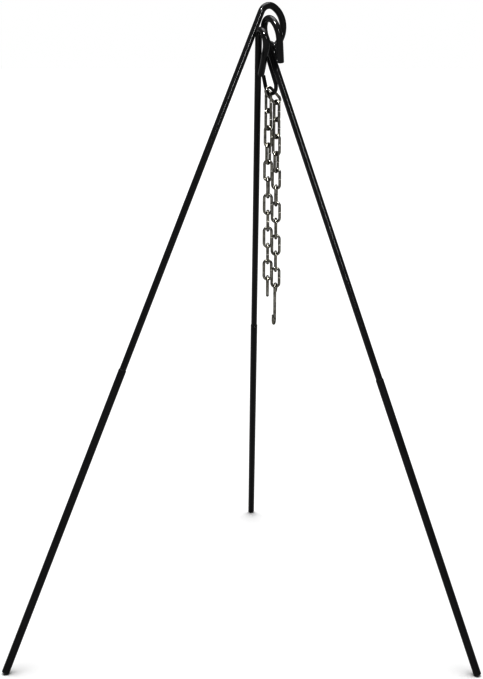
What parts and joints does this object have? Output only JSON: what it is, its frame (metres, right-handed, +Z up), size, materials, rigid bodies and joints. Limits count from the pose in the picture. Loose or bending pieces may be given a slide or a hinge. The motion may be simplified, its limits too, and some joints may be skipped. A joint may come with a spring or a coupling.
{
  "type": "campfire tripod",
  "caption": "Campfire tripod of hooked steel rods with tubular lower legs, and an S-hook, a doubled chain and a pot hook hanging from its crossing.",
  "frame": {"origin": "centre of the footprint, on the ground", "axes": "+Z up, -Y towards the front where the left and right feet stand, +X towards the right foot"},
  "size_m": [0.7066, 0.6378, 0.9623],
  "materials": {
    "rod_black": "satin",
    "tube_black": "satin",
    "s_hook_black": "satin",
    "galvanised": "satin",
    "pot_hook_zinc": "satin"
  },
  "bodies": {
    "upper_rod_left": {"upper_rod_left": "rod_black"},
    "upper_rod_right": {"upper_rod_right": "rod_black"},
    "upper_rod_rear": {"upper_rod_rear": "rod_black"},
    "lower_leg_left": {"lower_leg_left": "tube_black"},
    "lower_leg_right": {"lower_leg_right": "tube_black"},
    "lower_leg_rear": {"lower_leg_rear": "tube_black"},
    "s_hook": {"s_hook": "s_hook_black"},
    "chain_top_link": {"chain_top_link": "galvanised"},
    "chain_left_01": {"chain_left_01": "galvanised"},
    "chain_left_02": {"chain_left_02": "galvanised"},
    "chain_left_03": {"chain_left_03": "galvanised"},
    "chain_left_04": {"chain_left_04": "galvanised"},
    "chain_left_05": {"chain_left_05": "galvanised"},
    "chain_left_06": {"chain_left_06": "galvanised"},
    "chain_left_07": {"chain_left_07": "galvanised"},
    "chain_left_08": {"chain_left_08": "galvanised"},
    "chain_left_09": {"chain_left_09": "galvanised"},
    "chain_left_10": {"chain_left_10": "galvanised"},
    "chain_left_11": {"chain_left_11": "galvanised"},
    "chain_left_12": {"chain_left_12": "galvanised"},
    "chain_right_01": {"chain_right_01": "galvanised"},
    "chain_right_02": {"chain_right_02": "galvanised"},
    "chain_right_03": {"chain_right_03": "galvanised"},
    "chain_right_04": {"chain_right_04": "galvanised"},
    "chain_right_05": {"chain_right_05": "galvanised"},
    "chain_right_06": {"chain_right_06": "galvanised"},
    "chain_right_07": {"chain_right_07": "galvanised"},
    "chain_right_08": {"chain_right_08": "galvanised"},
    "chain_right_09": {"chain_right_09": "galvanised"},
    "chain_right_10": {"chain_right_10": "galvanised"},
    "chain_right_11": {"chain_right_11": "galvanised"},
    "pot_hook": {"pot_hook": "pot_hook_zinc"}
  },
  "joints": [
    {"name": "right_leg_fold", "type": "hinge", "parent": "upper_rod_left", "child": "upper_rod_right", "pos_m": [0.0481, -0.12779, 0.84827], "axis": [0.5188, 0.8507, 0.085], "range_deg": [0, 22]},
    {"name": "rear_leg_fold", "type": "hinge", "parent": "upper_rod_left", "child": "upper_rod_rear", "pos_m": [0.0215, -0.16179, 0.90807], "axis": [-0.862, 0.506, 0.032], "range_deg": [0, 22]},
    {"name": "left_tube_pull", "type": "slide", "parent": "upper_rod_left", "child": "lower_leg_left", "axis": [-0.3637, -0.1881, -0.9123], "range_m": [0, 0.05]},
    {"name": "right_tube_pull", "type": "slide", "parent": "upper_rod_right", "child": "lower_leg_right", "axis": [0.3176, -0.2052, -0.9258], "range_m": [0, 0.05]},
    {"name": "rear_tube_pull", "type": "slide", "parent": "upper_rod_rear", "child": "lower_leg_rear", "axis": [-0.0053, 0.4335, -0.9011], "range_m": [0, 0.05]},
    {"name": "s_hook_swing", "type": "hinge", "parent": "upper_rod_left", "child": "s_hook", "pos_m": [0.04503, -0.10154, 0.89632], "axis": [-0.0806, -0.0118, -0.9967], "range_deg": [-5, 12]},
    {"name": "top_link_swing", "type": "hinge", "parent": "s_hook", "child": "chain_top_link", "pos_m": [0.04544, -0.08556, 0.83182], "axis": [0.6082, -0.7938, 0], "range_deg": [-2, 12]},
    {"name": "left_01_swing", "type": "hinge", "parent": "chain_top_link", "child": "chain_left_01", "pos_m": [0.03804, -0.0895, 0.83116], "axis": [0.788, 0.6157, 0], "range_deg": [0, 12]},
    {"name": "left_02_swing", "type": "hinge", "parent": "chain_left_01", "child": "chain_left_02", "pos_m": [0.0407, -0.08808, 0.80454], "axis": [-0.6157, 0.788, 0], "range_deg": [0, 12]},
    {"name": "left_03_swing", "type": "hinge", "parent": "chain_left_02", "child": "chain_left_03", "pos_m": [0.0407, -0.08808, 0.77914], "axis": [-0.6862, -0.7274, 0], "range_deg": [-12, 5]},
    {"name": "left_04_swing", "type": "hinge", "parent": "chain_left_03", "child": "chain_left_04", "pos_m": [0.0407, -0.08808, 0.75374], "axis": [0.8225, -0.5688, 0], "range_deg": [-12, 0]},
    {"name": "left_05_swing", "type": "hinge", "parent": "chain_left_04", "child": "chain_left_05", "pos_m": [0.0407, -0.08808, 0.72834], "axis": [0.4384, 0.8988, 0], "range_deg": [-1, 12]},
    {"name": "left_06_swing", "type": "hinge", "parent": "chain_left_05", "child": "chain_left_06", "pos_m": [0.0407, -0.08808, 0.70294], "axis": [-0.9546, 0.2979, 0], "range_deg": [0, 12]},
    {"name": "left_07_swing", "type": "hinge", "parent": "chain_left_06", "child": "chain_left_07", "pos_m": [0.0407, -0.08808, 0.67754], "axis": [-0.1507, -0.9886, 0], "range_deg": [-12, 1]},
    {"name": "left_08_swing", "type": "hinge", "parent": "chain_left_07", "child": "chain_left_08", "pos_m": [0.0407, -0.08808, 0.65214], "axis": [1, 0, 0], "range_deg": [-12, 1]},
    {"name": "left_09_swing", "type": "hinge", "parent": "chain_left_08", "child": "chain_left_09", "pos_m": [0.0407, -0.08808, 0.62674], "axis": [0, 1, 0], "range_deg": [-1, 12]},
    {"name": "left_10_swing", "type": "hinge", "parent": "chain_left_09", "child": "chain_left_10", "pos_m": [0.0407, -0.08808, 0.60134], "axis": [-1, 0, 0], "range_deg": [-3, 12]},
    {"name": "left_11_swing", "type": "hinge", "parent": "chain_left_10", "child": "chain_left_11", "pos_m": [0.0407, -0.08808, 0.57594], "axis": [0, -1, 0], "range_deg": [-12, 4]},
    {"name": "left_12_swing", "type": "hinge", "parent": "chain_left_11", "child": "chain_left_12", "pos_m": [0.0407, -0.08808, 0.55054], "axis": [1, 0, 0], "range_deg": [-12, 12]},
    {"name": "right_01_swing", "type": "hinge", "parent": "chain_top_link", "child": "chain_right_01", "pos_m": [0.05319, -0.08144, 0.81681], "axis": [0.788, 0.6157, 0], "range_deg": [-12, 1]},
    {"name": "right_02_swing", "type": "hinge", "parent": "chain_right_01", "child": "chain_right_02", "pos_m": [0.05319, -0.08144, 0.79141], "axis": [-0.6157, 0.788, 0], "range_deg": [-12, 0]},
    {"name": "right_03_swing", "type": "hinge", "parent": "chain_right_02", "child": "chain_right_03", "pos_m": [0.05319, -0.08144, 0.76602], "axis": [-0.6862, -0.7274, 0], "range_deg": [-6, 12]},
    {"name": "right_04_swing", "type": "hinge", "parent": "chain_right_03", "child": "chain_right_04", "pos_m": [0.05319, -0.08144, 0.74062], "axis": [0.8225, -0.5688, 0], "range_deg": [0, 12]},
    {"name": "right_05_swing", "type": "hinge", "parent": "chain_right_04", "child": "chain_right_05", "pos_m": [0.05319, -0.08144, 0.71522], "axis": [0.4384, 0.8988, 0], "range_deg": [-12, 1]},
    {"name": "right_06_swing", "type": "hinge", "parent": "chain_right_05", "child": "chain_right_06", "pos_m": [0.05319, -0.08144, 0.68981], "axis": [-0.9546, 0.2979, 0], "range_deg": [-12, 1]},
    {"name": "right_07_swing", "type": "hinge", "parent": "chain_right_06", "child": "chain_right_07", "pos_m": [0.05319, -0.08144, 0.66441], "axis": [-0.1507, -0.9886, 0], "range_deg": [-1, 12]},
    {"name": "right_08_swing", "type": "hinge", "parent": "chain_right_07", "child": "chain_right_08", "pos_m": [0.05319, -0.08144, 0.63901], "axis": [1, 0, 0], "range_deg": [-1, 12]},
    {"name": "right_09_swing", "type": "hinge", "parent": "chain_right_08", "child": "chain_right_09", "pos_m": [0.05319, -0.08144, 0.61362], "axis": [0, 1, 0], "range_deg": [-12, 2]},
    {"name": "right_10_swing", "type": "hinge", "parent": "chain_right_09", "child": "chain_right_10", "pos_m": [0.05319, -0.08144, 0.58822], "axis": [-1, 0, 0], "range_deg": [-12, 4]},
    {"name": "right_11_swing", "type": "hinge", "parent": "chain_right_10", "child": "chain_right_11", "pos_m": [0.05319, -0.08144, 0.56281], "axis": [0, -1, 0], "range_deg": [-7, 12]},
    {"name": "pot_hook_swing", "type": "hinge", "parent": "chain_right_11", "child": "pot_hook", "pos_m": [0.05319, -0.08144, 0.53741], "axis": [1, 0, 0], "range_deg": [-12, 12]}
  ]
}
